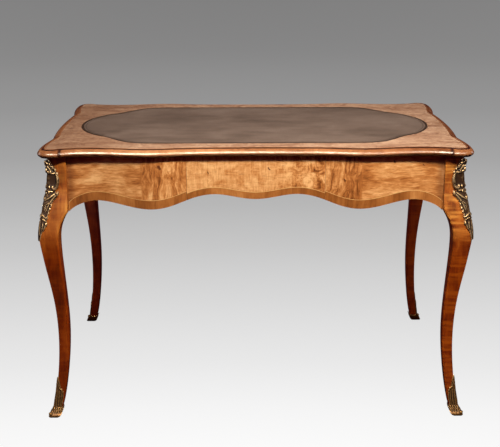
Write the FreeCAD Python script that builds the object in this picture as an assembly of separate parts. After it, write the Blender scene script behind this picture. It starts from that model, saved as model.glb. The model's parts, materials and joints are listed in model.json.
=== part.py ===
import FreeCAD, Part
import os

from FreeCAD import Vector

# Writing table with cabriole legs. Millimetres, front towards -Y, floor at Z = 0.

HEIGHT = 750.0
TOP_THICKNESS = 21.0
UNDERSIDE = HEIGHT - TOP_THICKNESS

# Nose of the top's edge in plan, one quarter, from the middle of each side to the corner creases.
LONG_EDGE = (
    (0.0, 316.5), (115.0, 318.5), (190.0, 322.5), (265.0, 332.5),
    (345.0, 325.0), (420.0, 317.0), (497.0, 329.0),
)
SHORT_EDGE = ((554.0, 0.0), (545.0, 164.0))
EAR = ((497.0, 329.0), (525.0, 336.0), (548.0, 326.0), (557.0, 294.0), (553.5, 225.0), (545.0, 164.0))
MOULDING_WIDTH = 20.0
QUIRK_INSET = 16.5
QUIRK_DEPTH = 1.6
NOSE_DROP = 11.5
NOSE_FOOT = (5.5, 19.0)
THUMB_MIDDLE = (4.6, 4.6)
UNDER_MIDDLE = (1.3, 15.9)
FOOT_RETURN = 1.5
MITRE_RUN_ON = 10.0
GLUE_LINE = 0.3
OUTLINE_STEP = 24.0
FEWEST_STEPS = 28

# Leather panel in plan, one quarter, from the long side to the tip.
LEATHER = (
    (262.0, 253.0), (290.0, 251.8), (316.0, 246.5), (337.0, 237.0), (357.0, 220.0), (380.0, 194.0),
    (404.0, 168.0), (434.0, 144.0), (462.0, 108.0), (482.0, 63.0), (491.0, 0.0),
)
LEATHER_THICKNESS = 1.4
LEATHER_GROOVE = 0.6

# Leg: outer corner (arris) in plan, then how far profiles stand out from it by height.
ARRIS_X = 532.0
ARRIS_Y = 305.0
LEG_BLOCK = 46.0
LEG_FOOT = 6.0
BLOCK_BOTTOM = 583.0
LEG_ROUNDING = 5.0
SAW_REACH = 200.0
LEG_OUTER = (
    (UNDERSIDE, 0.0), (670.0, 0.6), (650.0, 2.3), (630.0, 6.2), (600.0, 14.3), (562.0, 22.5), (522.0, 28.3),
    (484.0, 25.5), (436.0, 19.6), (368.0, 10.0), (316.0, 4.5), (247.0, 1.6), (188.0, 2.9), (145.0, 6.0),
    (80.0, 13.4), (49.0, 18.0), (18.0, 24.0), (LEG_FOOT, 26.5),
)
LEG_INNER = (
    (BLOCK_BOTTOM, -LEG_BLOCK), (561.0, -32.0), (535.0, -23.0), (500.0, -19.9), (436.0, -21.5),
    (368.0, -24.7), (316.0, -26.9), (247.0, -27.5), (188.0, -24.5), (145.0, -20.4), (80.0, -11.6),
    (49.0, -5.8), (18.0, 3.0), (LEG_FOOT, 9.0),
)

# Bronze mounts on the outer corner of the leg, drawn the same way.
KNEE_OUTER = (
    (722.0, 3.8), (690.0, 4.5), (660.0, 5.6), (640.0, 8.3), (620.0, 13.2), (600.0, 18.8), (568.0, 26.0),
    (540.0, 31.2), (511.0, 30.0),
)
KNEE_INNER = (
    (722.0, -17.0), (702.0, -27.0), (682.0, -24.0), (655.0, -28.0), (625.0, -17.0), (590.0, -2.0),
    (560.0, 9.0), (535.0, 18.0), (511.0, 26.0),
)
SABOT_OUTER = (
    (113.0, 11.4), (80.0, 16.2), (49.0, 20.8), (25.0, 26.2), (16.0, 30.0), (9.0, 36.5), (0.0, 33.5),
)
SABOT_INNER = (
    (113.0, 9.0), (100.0, 6.0), (71.0, 2.5), (31.0, 0.8), (20.0, -0.5), (11.0, 2.2), (4.0, 8.0), (0.0, 15.5),
)
PIN_RADIUS = 1.2
PIN_LENGTH = 12.0
KNEE_PINS = ((692.0, -12.0), (600.0, 5.0))
SABOT_PINS = ((50.0, 14.0),)

# Frieze: outer face in plan and lower edge in elevation, one half, from the middle to the leg.
LONG_FACE = (
    (0.0, 298.3), (115.0, 300.4), (190.0, 304.8), (265.0, 314.5),
    (345.0, 305.5), (420.0, 295.0), (486.0, 296.0),
)
LONG_LOWER = (
    (0.0, 612.3), (50.0, 618.3), (104.0, 626.3), (160.0, 617.8), (222.0, 596.3), (264.0, 589.9),
    (324.0, 596.0), (380.0, 607.3), (418.0, 609.5), (452.0, 601.3), (474.0, 590.4), (486.0, 580.0),
)
LONG_INNER = 270.0
SHORT_FACE = ((0.0, 536.0), (164.0, 527.0), (259.0, 525.5))
SHORT_LOWER = (
    (0.0, 598.0), (60.0, 607.0), (120.0, 619.5), (180.0, 615.0), (212.0, 609.0), (238.0, 598.0),
    (259.0, 580.0),
)
SHORT_INNER = 500.0
TENON_LENGTH = 22.0
TENON_SETBACK = 5.0
TENON_THICKNESS = 10.0
TENON_BOTTOM = 640.0
TENON_TOP = 715.0

# Crossbanding and boxwood line let into the frieze along its lower edge.
BAND_WIDTH = 23.0
DRAWER_BAND_WIDTH = 17.5
LINE_WIDTH = 1.2
INLAY_DEPTH = 1.2

# Drawer and its opening.
OPENING_HALF = 179.0
DRAWER_HALF = 178.4
DRAWER_FACE_BACK = 272.0
DRAWER_FACE_TOP = 726.5
SIDE_BOTTOM = 648.3
SIDE_TOP = 709.0
SIDE_THICKNESS = 10.0
BOX_REAR = 198.0
BACK_THICKNESS = 10.0
BOTTOM_LOW = 655.0
BOTTOM_HIGH = 661.0
GROOVE = 4.0
TAIL_LENGTH = 15.0
TAIL_COUNT = 3
TAIL_HALF = 7.5
TAIL_FLARE = 2.0
DRAWER_SCREWS = (-120.0, 0.0, 120.0)

# Rails and bearers under the top.
RAIL_THICKNESS = 18.0
RAIL_DEPTH = 45.0
BEARER_TOP = 648.0
RUNNER = (158.0, 200.0)
GUIDE = (179.2, 198.0)
GUIDE_TOP = 690.0
GUIDE_REAR = 230.0
KICKER = (150.0, 190.0)
TONGUE = 8.0
STOP_X = 80.0
STOP_SIZE = (40.0, 32.0, 5.0)
STOP_GAP = 0.2
CORNER_BLOCK = (430.0, 205.0)
CORNER_BLOCK_Z = (652.0, 708.0)
GLUE_BLOCK = (60.0, 20.0)
GLUE_BLOCK_X = (-300.0, 0.0, 300.0)
GLUE_BLOCK_Y = (-90.0, 90.0)
SCREW_RADIUS = 2.0
SCREW_HEAD = 4.0
SCREW_GRIP = 12.0
RAIL_SCREWS = (-350.0, 0.0, 350.0)
KICKER_SCREWS = (0.0, 150.0)


def box(x, y, z):
    return Part.makeBox(x[1] - x[0], y[1] - y[0], z[1] - z[0], Vector(x[0], y[0], z[0]))


def mirror_x(shape):
    return shape.mirror(Vector(0, 0, 0), Vector(1, 0, 0))


def mirror_y(shape):
    return shape.mirror(Vector(0, 0, 0), Vector(0, 1, 0))


def quarter_turn(shape):
    turned = shape.copy()
    turned.rotate(Vector(0, 0, 0), Vector(0, 0, 1), -90)
    return turned


def spline(points):
    curve = Part.BSplineCurve()
    curve.interpolate(points)
    return curve.toShape()


def both_halves(half):
    mirrored = [(-first, second) for first, second in reversed(half)]
    return mirrored + list(half[1:])


def closed_face(edges):
    return Part.Face(Part.Wire(Part.__sortEdges__(edges)))


def block_beyond(point, direction):
    # A block with one face through the point, lying on the side that the direction points to.
    size = 6 * MITRE_RUN_ON
    block = Part.makeBox(size, size, size, Vector(0, -size / 2, -size / 2))
    block.Placement = FreeCAD.Placement(point, FreeCAD.Rotation(Vector(1, 0, 0), direction))
    return block


def end_tangent(edge, last):
    at = edge.LastParameter if last else edge.FirstParameter
    return edge.tangentAt(at).normalize()


# Top

def nose_edges():
    # Eight curves round the top, anticlockwise from the back: long, ear, short, ear and so on.
    def plan(points):
        return [Vector(x, y, HEIGHT) for x, y in points]
    back = spline(plan(both_halves(LONG_EDGE))[::-1])
    right = spline(plan([(x, -y) for x, y in reversed(SHORT_EDGE)] + list(SHORT_EDGE[1:])))
    ear = list(EAR)
    back_left = spline(plan([(-x, y) for x, y in ear]))
    left = spline(plan([(-x, y) for x, y in reversed(SHORT_EDGE)] + [(-x, -y) for x, y in SHORT_EDGE[1:]]))
    front_left = spline(plan([(-x, -y) for x, y in reversed(ear)]))
    front = spline(plan([(x, -y) for x, y in both_halves(LONG_EDGE)]))
    front_right = spline(plan([(x, -y) for x, y in ear]))
    back_right = spline(plan(list(reversed(ear))))
    return {
        "edge_moulding_back": back,
        "corner_moulding_back_left": back_left,
        "edge_moulding_left": left,
        "corner_moulding_front_left": front_left,
        "edge_moulding_front": front,
        "corner_moulding_front_right": front_right,
        "edge_moulding_right": right,
        "corner_moulding_back_right": back_right,
    }


def moulding_profile(origin, outward):
    # Thumb moulding with a quirk above it, drawn inward from the nose and down from the top.
    def at(inset, drop):
        return origin - outward * inset - Vector(0, 0, drop)
    inner_top = at(MOULDING_WIDTH, 0)
    quirk_top = at(QUIRK_INSET, 0)
    quirk_foot = at(QUIRK_INSET, QUIRK_DEPTH)
    nose = at(0, NOSE_DROP)
    foot = at(*NOSE_FOOT)
    base = at(NOSE_FOOT[0] + FOOT_RETURN, TOP_THICKNESS)
    inner_base = at(MOULDING_WIDTH, TOP_THICKNESS)
    thumb = Part.Arc(quirk_foot, at(*THUMB_MIDDLE), nose).toShape()
    under = Part.Arc(nose, at(*UNDER_MIDDLE), foot).toShape()
    lines = [
        Part.makeLine(inner_top, quirk_top),
        Part.makeLine(quirk_top, quirk_foot),
        thumb,
        under,
        Part.makeLine(foot, base),
        Part.makeLine(base, inner_base),
        Part.makeLine(inner_base, inner_top),
    ]
    return Part.Wire(lines)


def swept_moulding(edge):
    first = edge.valueAt(edge.FirstParameter)
    last = edge.valueAt(edge.LastParameter)
    lead_in = end_tangent(edge, False)
    lead_out = end_tangent(edge, True)
    start = first - lead_in * MITRE_RUN_ON
    path = Part.Wire([
        Part.makeLine(start, first),
        edge,
        Part.makeLine(last, last + lead_out * MITRE_RUN_ON),
    ])
    outward = lead_in.cross(Vector(0, 0, 1)).normalize()
    sweep = Part.BRepOffsetAPI.MakePipeShell(path)
    sweep.setBiNormalMode(Vector(0, 0, 1))
    sweep.add(moulding_profile(start, outward))
    sweep.build()
    sweep.makeSolid()
    return sweep.shape()


def mouldings(edges):
    names = list(edges)
    pieces = {}
    for index, name in enumerate(names):
        before = edges[names[index - 1]]
        here = edges[name]
        after = edges[names[(index + 1) % len(names)]]
        piece = swept_moulding(here)
        start_mitre = end_tangent(before, True) + end_tangent(here, False)
        end_mitre = end_tangent(here, True) + end_tangent(after, False)
        piece = piece.cut(block_beyond(here.valueAt(here.FirstParameter), start_mitre * -1))
        pieces[name] = piece.cut(block_beyond(here.valueAt(here.LastParameter), end_mitre))
    return pieces


def leather_face(inset):
    right = [Vector(x - inset, y - inset, HEIGHT) for x, y in LEATHER[:-1]]
    right.append(Vector(LEATHER[-1][0] - inset, 0, HEIGHT))
    right += [Vector(point.x, -point.y, HEIGHT) for point in reversed(right[:-1])]
    left = [Vector(-point.x, point.y, HEIGHT) for point in right]
    edges = [
        spline(right),
        Part.makeLine(right[-1], left[-1]),
        spline(left),
        Part.makeLine(left[0], right[0]),
    ]
    return closed_face(edges)


def outward_at(edge, fraction):
    at = edge.FirstParameter + (edge.LastParameter - edge.FirstParameter) * fraction
    return edge.valueAt(at), edge.tangentAt(at).cross(Vector(0, 0, 1)).normalize()


def mitre_point(before, after, inset):
    corner, outward_before = outward_at(before, 1.0)
    outward_after = outward_at(after, 0.0)[1]
    bisector = (outward_before + outward_after).normalize()
    return corner - bisector * (inset / bisector.dot(outward_before))


def inset_outline(edges, inset):
    # The nose curves moved in, so that the board meets the backs of the mouldings.
    curves = list(edges.values())
    moved = []
    for index, here in enumerate(curves):
        before = curves[index - 1]
        after = curves[(index + 1) % len(curves)]
        points = [mitre_point(before, here, inset)]
        steps = max(round(here.Length / OUTLINE_STEP), FEWEST_STEPS)
        for step in range(1, steps):
            point, outward = outward_at(here, step / steps)
            points.append(point - outward * inset)
        points.append(mitre_point(here, after, inset))
        moved.append(spline(points))
    return Part.Wire(moved)


def top_board(edges):
    outline = inset_outline(edges, MOULDING_WIDTH + GLUE_LINE)
    board = Part.Face(outline).extrude(Vector(0, 0, -TOP_THICKNESS))
    recess = leather_face(0).extrude(Vector(0, 0, -LEATHER_THICKNESS))
    return board.cut(recess)


def writing_leather():
    return leather_face(LEATHER_GROOVE).extrude(Vector(0, 0, -LEATHER_THICKNESS))


# Legs and mounts

def sawn_both_ways(outer, inner, block_top=None):
    # A leg is sawn to one profile from two faces, so its section is square all the way down.
    def profile(base, place):
        outer_points = [place(base + out, z) for z, out in outer]
        inner_points = [place(base + out, z) for z, out in inner]
        sole = Part.makeLine(outer_points[-1], inner_points[-1])
        edges = [spline(outer_points), sole, spline(inner_points)]
        top = inner_points[0]
        if block_top is not None:
            top = place(base + inner[0][1], block_top)
            edges.append(Part.makeLine(inner_points[0], top))
        edges.append(Part.makeLine(top, outer_points[0]))
        return closed_face(edges)
    front_view = profile(ARRIS_X, lambda out, z: Vector(out, ARRIS_Y - SAW_REACH / 2, z))
    side_view = profile(ARRIS_Y, lambda out, z: Vector(ARRIS_X - SAW_REACH / 2, out, z))
    return front_view.extrude(Vector(0, SAW_REACH, 0)).common(side_view.extrude(Vector(SAW_REACH, 0, 0)))


def leg_blank():
    # Only the outer corner stays crisp: the other three edges below the block are rounded.
    sawn = sawn_both_ways(LEG_OUTER, LEG_INNER, UNDERSIDE)
    middle = (BLOCK_BOTTOM + LEG_FOOT) / 2
    long_edges = [edge for edge in sawn.Edges if edge.BoundBox.ZMin < middle < edge.BoundBox.ZMax]
    soft_edges = [edge for edge in long_edges if edge.BoundBox.ZMax < (BLOCK_BOTTOM + UNDERSIDE) / 2]
    return sawn.makeFillet(LEG_ROUNDING, soft_edges)


def mount_pins(places, outer):
    # Pins through a mount into both outer faces of the leg.
    heights = [z for z, out in outer]
    pins = []
    for z, out in places:
        above = max(index for index, height in enumerate(heights) if height >= z)
        z0, out0 = outer[above]
        z1, out1 = outer[above + 1]
        face = out0 + (out1 - out0) * (z - z0) / (z1 - z0)
        across = Vector(ARRIS_X + out, ARRIS_Y + face, z)
        along = Vector(ARRIS_X + face, ARRIS_Y + out, z)
        pins.append(Part.makeCylinder(PIN_RADIUS, PIN_LENGTH, across, Vector(0, -1, 0)))
        pins.append(Part.makeCylinder(PIN_RADIUS, PIN_LENGTH, along, Vector(-1, 0, 0)))
    return pins


# Frieze

def plan_strip(points, inset, inner_line):
    # Plan of a shaped board: its outer curve, and either a flat back or the same curve moved in.
    outer = [Vector(along, out, 0) for along, out in points]
    if inner_line is None:
        inner = [Vector(along, out - inset, 0) for along, out in points]
        back = spline(inner)
    else:
        inner = [Vector(points[0][0], inner_line, 0), Vector(points[-1][0], inner_line, 0)]
        back = Part.makeLine(inner[0], inner[-1])
    edges = [spline(outer), Part.makeLine(outer[-1], inner[-1]), back, Part.makeLine(inner[0], outer[0])]
    return closed_face(edges)


def elevation(points, low, high):
    # Elevation between the lower edge raised by low and the same edge raised by high, or the underside.
    lower = [Vector(along, 0, z + low) for along, z in points]
    if high is None:
        upper = [Vector(points[0][0], 0, UNDERSIDE), Vector(points[-1][0], 0, UNDERSIDE)]
        top = Part.makeLine(upper[0], upper[-1])
    else:
        upper = [Vector(along, 0, z + high) for along, z in points]
        top = spline(upper)
    edges = [spline(lower), Part.makeLine(lower[-1], upper[-1]), top, Part.makeLine(upper[0], lower[0])]
    return closed_face(edges)


def shaped_board(plan, view):
    return plan.extrude(Vector(0, 0, HEIGHT)).common(view.extrude(Vector(0, HEIGHT, 0)))


def frieze_set(face, lower, inner, band_width):
    # Board with crossbanding and line let into its outer face.
    face_points = both_halves(face)
    lower_points = both_halves(lower)
    board = shaped_board(plan_strip(face_points, 0, inner), elevation(lower_points, 0, None))
    skin = plan_strip(face_points, INLAY_DEPTH, None)
    band = shaped_board(skin, elevation(lower_points, 0, band_width))
    line = shaped_board(skin, elevation(lower_points, band_width, band_width + LINE_WIDTH))
    board = board.cut(band).cut(line)
    return board, band, line


def tenons(face):
    end, out = face[-1]
    y = (out - TENON_SETBACK - TENON_THICKNESS, out - TENON_SETBACK)
    right = box((end, end + TENON_LENGTH), y, (TENON_BOTTOM, TENON_TOP))
    return right, mirror_x(right)


def keep_between(shape, low, high):
    return shape.common(box((low, high), (0, HEIGHT), (0, HEIGHT)))


# Drawer, built facing +Y and turned to the front at the end

def drawer_tails(near, far):
    # Dovetails along Y from near to far on a drawer side, flaring towards far.
    pitch = (SIDE_TOP - SIDE_BOTTOM) / TAIL_COUNT
    tails = []
    for index in range(TAIL_COUNT):
        middle = SIDE_BOTTOM + pitch * (index + 0.5)
        points = [
            Vector(0, near, middle - TAIL_HALF + TAIL_FLARE),
            Vector(0, near, middle + TAIL_HALF - TAIL_FLARE),
            Vector(0, far, middle + TAIL_HALF),
            Vector(0, far, middle - TAIL_HALF),
        ]
        outline = Part.makePolygon(points + points[:1])
        tail = Part.Face(outline).extrude(Vector(SIDE_THICKNESS, 0, 0))
        tail.translate(Vector(DRAWER_HALF - SIDE_THICKNESS, 0, 0))
        tails.append(tail)
    return tails


def drawer_side():
    x = (DRAWER_HALF - SIDE_THICKNESS, DRAWER_HALF)
    rear = -BOX_REAR
    body = box(x, (rear + BACK_THICKNESS, DRAWER_FACE_BACK), (SIDE_BOTTOM, SIDE_TOP))
    tails = drawer_tails(DRAWER_FACE_BACK, DRAWER_FACE_BACK + TAIL_LENGTH)
    tails += drawer_tails(rear + BACK_THICKNESS, rear)
    side = body.fuse(tails).removeSplitter()
    return side.cut(drawer_bottom())


def drawer_bottom():
    reach = DRAWER_HALF - SIDE_THICKNESS + GROOVE
    y = (-BOX_REAR, DRAWER_FACE_BACK + GROOVE)
    return box((-reach, reach), y, (BOTTOM_LOW, BOTTOM_HIGH))


def drawer_back(sides):
    x = (-DRAWER_HALF, DRAWER_HALF)
    y = (-BOX_REAR, -BOX_REAR + BACK_THICKNESS)
    return box(x, y, (BOTTOM_HIGH, SIDE_TOP)).cut(sides)


def drawer_screws():
    screws = []
    for x in DRAWER_SCREWS:
        middle = Vector(x, -BOX_REAR + BACK_THICKNESS / 2, BOTTOM_LOW)
        shank = Part.makeCylinder(SCREW_RADIUS, SCREW_GRIP + BOTTOM_HIGH - BOTTOM_LOW, middle)
        head = Part.makeCone(SCREW_HEAD, SCREW_RADIUS, SCREW_HEAD - SCREW_RADIUS, middle)
        screws.append(shank.fuse(head).removeSplitter())
    return screws


def drawer_front():
    face_points = both_halves(LONG_FACE)
    lower_points = both_halves(LONG_LOWER)
    view = elevation(lower_points, 0, None)
    front = shaped_board(plan_strip(face_points, 0, DRAWER_FACE_BACK), view)
    skin = plan_strip(face_points, INLAY_DEPTH, None)
    band = shaped_board(skin, elevation(lower_points, 0, DRAWER_BAND_WIDTH))
    line = shaped_board(skin, elevation(lower_points, DRAWER_BAND_WIDTH, DRAWER_BAND_WIDTH + LINE_WIDTH))
    room = box((-DRAWER_HALF, DRAWER_HALF), (0, HEIGHT), (0, DRAWER_FACE_TOP))
    return front.common(room).cut(band).cut(line), band.common(room), line.common(room)


# Carcase under the top

def front_rail(low):
    y = (-LONG_INNER, RAIL_DEPTH - LONG_INNER)
    return box((-SHORT_INNER, SHORT_INNER), y, (low, low + RAIL_THICKNESS))


def bearer_strip(x, low):
    # Strip from the front rail to the back frieze, with a tongue into each.
    front = RAIL_DEPTH - LONG_INNER
    strip = box(x, (front, LONG_INNER), (low, low + RAIL_THICKNESS))
    third = RAIL_THICKNESS / 3
    inset = (x[1] - x[0]) / 4
    tongue = box(
        (x[0] + inset, x[1] - inset),
        (front - TONGUE, LONG_INNER + TONGUE),
        (low + third, low + 2 * third),
    )
    return strip.fuse(tongue).removeSplitter()


def drawer_stop():
    length, depth, height = STOP_SIZE
    front = -DRAWER_FACE_BACK + STOP_GAP
    x = (STOP_X - length / 2, STOP_X + length / 2)
    return box(x, (front, front + depth), (BEARER_TOP, BEARER_TOP + height))


def corner_block():
    far_x, far_y = CORNER_BLOCK
    block_x = ARRIS_X - LEG_BLOCK
    block_y = ARRIS_Y - LEG_BLOCK
    low, high = CORNER_BLOCK_Z
    points = [
        Vector(far_x, LONG_INNER, low),
        Vector(block_x, LONG_INNER, low),
        Vector(block_x, block_y, low),
        Vector(SHORT_INNER, block_y, low),
        Vector(SHORT_INNER, far_y, low),
    ]
    outline = Part.makePolygon(points + points[:1])
    return Part.Face(outline).extrude(Vector(0, 0, high - low))


def glue_blocks():
    length, size = GLUE_BLOCK
    z = (UNDERSIDE - size, UNDERSIDE)
    blocks = []
    for x in GLUE_BLOCK_X:
        blocks.append(box((x - length / 2, x + length / 2), (LONG_INNER - size, LONG_INNER), z))
    for y in GLUE_BLOCK_Y:
        right = box((SHORT_INNER - size, SHORT_INNER), (y - length / 2, y + length / 2), z)
        blocks.append(right)
        blocks.append(mirror_x(right))
    return blocks


def top_screw(x, y):
    seat = Vector(x, y, UNDERSIDE - RAIL_THICKNESS)
    shank = Part.makeCylinder(SCREW_RADIUS, RAIL_THICKNESS + SCREW_GRIP, seat)
    head = Part.makeCone(SCREW_HEAD, SCREW_RADIUS, SCREW_HEAD - SCREW_RADIUS, seat)
    return shank.fuse(head).removeSplitter()


def top_screws():
    screws = []
    for x in RAIL_SCREWS:
        screws.append(top_screw(x, RAIL_DEPTH / 2 - LONG_INNER))
    kicker_middle = sum(KICKER) / 2
    for y in KICKER_SCREWS:
        screws.append(top_screw(kicker_middle, y))
        screws.append(top_screw(-kicker_middle, y))
    return screws


# Assembly

def four_corners(shape):
    return {
        "back_right": shape,
        "back_left": mirror_x(shape),
        "front_right": mirror_y(shape),
        "front_left": mirror_x(mirror_y(shape)),
    }


def build_top(nodes, screws):
    edges = nose_edges()
    nodes["top_board"] = top_board(edges).cut(screws)
    nodes["writing_leather"] = writing_leather()
    nodes.update(mouldings(edges))


def build_legs(nodes):
    blank = leg_blank()
    knee_pins = mount_pins(KNEE_PINS, KNEE_OUTER)
    sabot_pins = mount_pins(SABOT_PINS, SABOT_OUTER)
    knee = sawn_both_ways(KNEE_OUTER, KNEE_INNER).cut(blank).cut(knee_pins)
    sabot = sawn_both_ways(SABOT_OUTER, SABOT_INNER).cut(blank).cut(sabot_pins)
    right = tenons(LONG_FACE)[0]
    side = mirror_y(quarter_turn(tenons(SHORT_FACE)[0]))
    leg = blank.cut([right, side] + knee_pins + sabot_pins)
    pins = []
    for corner, shape in four_corners(leg).items():
        nodes["leg_" + corner] = shape
    for corner, shape in four_corners(knee).items():
        nodes["knee_mount_" + corner] = shape
    for corner, shape in four_corners(sabot).items():
        nodes["sabot_" + corner] = shape
    for pin in knee_pins + sabot_pins:
        pins += list(four_corners(pin).values())
    nodes["mount_pins"] = Part.makeCompound(pins)


def build_frieze(nodes, strips):
    board, band, line = frieze_set(LONG_FACE, LONG_LOWER, LONG_INNER, BAND_WIDTH)
    end = LONG_FACE[-1][0]
    right_tenon, left_tenon = tenons(LONG_FACE)
    for name, low, high, tenon in (
        ("left", -end, -OPENING_HALF, left_tenon),
        ("right", OPENING_HALF, end, right_tenon),
    ):
        piece = keep_between(board, low, high).fuse(tenon).removeSplitter()
        nodes["front_apron_" + name] = mirror_y(piece)
        nodes["crossband_front_" + name] = mirror_y(keep_between(band, low, high))
        nodes["stringing_front_" + name] = mirror_y(keep_between(line, low, high))
    back = board.fuse([right_tenon, left_tenon]).removeSplitter()
    nodes["back_apron"] = back.cut(strips)
    nodes["crossband_back"] = band
    nodes["stringing_back"] = line
    board, band, line = frieze_set(SHORT_FACE, SHORT_LOWER, SHORT_INNER, BAND_WIDTH)
    side = board.fuse(list(tenons(SHORT_FACE))).removeSplitter()
    for name, shape in (("apron", side), ("crossband", band), ("stringing", line)):
        right = quarter_turn(shape)
        left = mirror_x(right)
        if name == "apron":
            nodes["right_apron"] = right
            nodes["left_apron"] = left
        else:
            nodes[name + "_right"] = right
            nodes[name + "_left"] = left


def build_carcase(nodes, strips, screws):
    legs = [nodes["leg_front_left"], nodes["leg_front_right"]]
    top_rail = front_rail(UNDERSIDE - RAIL_THICKNESS)
    bearer = front_rail(BEARER_TOP - RAIL_THICKNESS)
    nodes["front_top_rail"] = top_rail.cut(legs + list(strips.values()) + screws)
    nodes["front_bearer_rail"] = bearer.cut(legs + list(strips.values()))
    for name, strip in strips.items():
        nodes[name] = strip.cut(screws)
    guide = box(GUIDE, (RAIL_DEPTH - LONG_INNER, GUIDE_REAR), (BEARER_TOP, GUIDE_TOP))
    nodes["drawer_guide_right"] = guide
    nodes["drawer_guide_left"] = mirror_x(guide)
    stop = drawer_stop()
    nodes["drawer_stops"] = Part.makeCompound([stop, mirror_x(stop)])
    nodes["corner_blocks"] = Part.makeCompound(list(four_corners(corner_block()).values()))
    nodes["top_glue_blocks"] = Part.makeCompound(glue_blocks())
    nodes["top_screws"] = Part.makeCompound(screws)


def build_drawer(nodes):
    screws = drawer_screws()
    side = drawer_side()
    sides = [side, mirror_x(side)]
    bottom = drawer_bottom()
    front, band, line = drawer_front()
    pieces = {
        "drawer_side_right": side,
        "drawer_side_left": sides[1],
        "drawer_bottom": bottom.cut(screws),
        "drawer_back": drawer_back(sides).cut(screws),
        "drawer_front": front.cut(sides + [bottom]),
        "drawer_screws": Part.makeCompound(screws),
        "crossband_drawer": band,
        "stringing_drawer": line,
    }
    for name, shape in pieces.items():
        nodes[name] = mirror_y(shape)


def bearer_strips():
    runner = bearer_strip(RUNNER, BEARER_TOP - RAIL_THICKNESS)
    kicker = bearer_strip(KICKER, UNDERSIDE - RAIL_THICKNESS)
    return {
        "drawer_runner_right": runner,
        "drawer_runner_left": mirror_x(runner),
        "drawer_kicker_right": kicker,
        "drawer_kicker_left": mirror_x(kicker),
    }


def main():
    nodes = {}
    strips = bearer_strips()
    screws = top_screws()
    build_top(nodes, screws)
    build_legs(nodes)
    build_frieze(nodes, list(strips.values()))
    build_carcase(nodes, strips, screws)
    build_drawer(nodes)
    os.makedirs("parts", exist_ok=True)
    for name, shape in nodes.items():
        shape.exportStep("parts/" + name + ".step")
        print(name, shape.isValid(), len(shape.Solids), round(shape.Volume))


main()
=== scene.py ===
import json
import math

import bpy
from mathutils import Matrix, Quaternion, Vector

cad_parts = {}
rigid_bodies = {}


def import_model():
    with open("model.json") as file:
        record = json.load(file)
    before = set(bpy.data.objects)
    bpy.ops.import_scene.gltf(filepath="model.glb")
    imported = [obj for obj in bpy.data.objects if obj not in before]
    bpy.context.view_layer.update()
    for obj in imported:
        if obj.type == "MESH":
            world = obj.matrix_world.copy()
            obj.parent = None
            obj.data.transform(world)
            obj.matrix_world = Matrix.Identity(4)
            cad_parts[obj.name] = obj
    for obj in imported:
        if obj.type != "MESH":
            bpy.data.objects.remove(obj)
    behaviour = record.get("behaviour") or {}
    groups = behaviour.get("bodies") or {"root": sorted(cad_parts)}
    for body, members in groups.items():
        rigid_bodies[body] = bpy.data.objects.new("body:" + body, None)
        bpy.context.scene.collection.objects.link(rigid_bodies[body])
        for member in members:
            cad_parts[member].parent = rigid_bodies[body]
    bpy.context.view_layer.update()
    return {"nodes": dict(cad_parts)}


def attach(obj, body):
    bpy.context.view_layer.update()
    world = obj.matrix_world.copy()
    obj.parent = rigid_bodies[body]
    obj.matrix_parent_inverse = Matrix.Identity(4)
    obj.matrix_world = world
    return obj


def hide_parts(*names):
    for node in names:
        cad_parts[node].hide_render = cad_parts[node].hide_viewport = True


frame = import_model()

nodes = frame["nodes"]
scene = bpy.context.scene
mm = 0.001
corners = {"front_left": (-1, -1), "front_right": (1, -1), "back_left": (-1, 1), "back_right": (1, 1)}
print("loaded", len(nodes), "nodes")


# small helpers

def tint(red, green, blue):  # screen colour 0-255 to the linear colour a shader takes
    def linear(value):
        value = value / 255
        return value / 12.92 if value <= 0.04045 else ((value + 0.055) / 1.055) ** 2.4
    return (linear(red), linear(green), linear(blue), 1.0)


def deselectAll():
    if bpy.context.mode != "OBJECT":
        bpy.ops.object.mode_set(mode="OBJECT")
    bpy.ops.object.select_all(action="DESELECT")


def editAll():  # edit mode, with the whole mesh of the active object selected
    bpy.ops.object.mode_set(mode="EDIT")
    bpy.ops.mesh.select_all(action="SELECT")


def clearSelection(kind):  # of the active object's faces or points
    bpy.ops.object.mode_set(mode="EDIT")
    bpy.ops.mesh.select_mode(type=kind)
    bpy.ops.mesh.select_all(action="DESELECT")
    bpy.ops.object.mode_set(mode="OBJECT")


def activate(*objects):
    deselectAll()
    for item in objects:
        item.select_set(True)
    bpy.context.view_layer.objects.active = objects[0]


def applyModifier(item, kind, **values):
    activate(item)
    modifier = item.modifiers.new(kind.title(), kind)
    for key, value in values.items():
        setattr(modifier, key, value)
    bpy.ops.object.modifier_apply(modifier=modifier.name)


def between(points, at):  # straight-line reading of a list of (place, value) pairs in rising order
    if at <= points[0][0]:
        return points[0][1]
    for (low, lowValue), (high, highValue) in zip(points, points[1:]):
        if at <= high:
            return lowValue + (highValue - lowValue) * (at - low) / max(high - low, 1e-9)
    return points[-1][1]


# shader building

def addNode(tree, kind, inputs=None, **values):
    node = tree.nodes.new(kind)
    for key, value in values.items():
        setattr(node, key, value)
    for key, value in (inputs or {}).items():
        node.inputs[key].default_value = value
    return node


def link(tree, source, target):
    tree.links.new(source, target)


def mathNode(tree, operation, first, second=None, clamp=False):
    node = addNode(tree, "ShaderNodeMath", operation=operation, use_clamp=clamp)
    for index, value in enumerate((first, second)):
        if value is None:
            continue
        if isinstance(value, (int, float)):
            node.inputs[index].default_value = value
        else:
            link(tree, value, node.inputs[index])
    return node.outputs[0]


def weighted(tree, *pairs):  # sum of values times weights
    total = 0.0
    for value, weight in pairs:
        total = mathNode(tree, "ADD", mathNode(tree, "MULTIPLY", value, weight), total)
    return total


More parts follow.
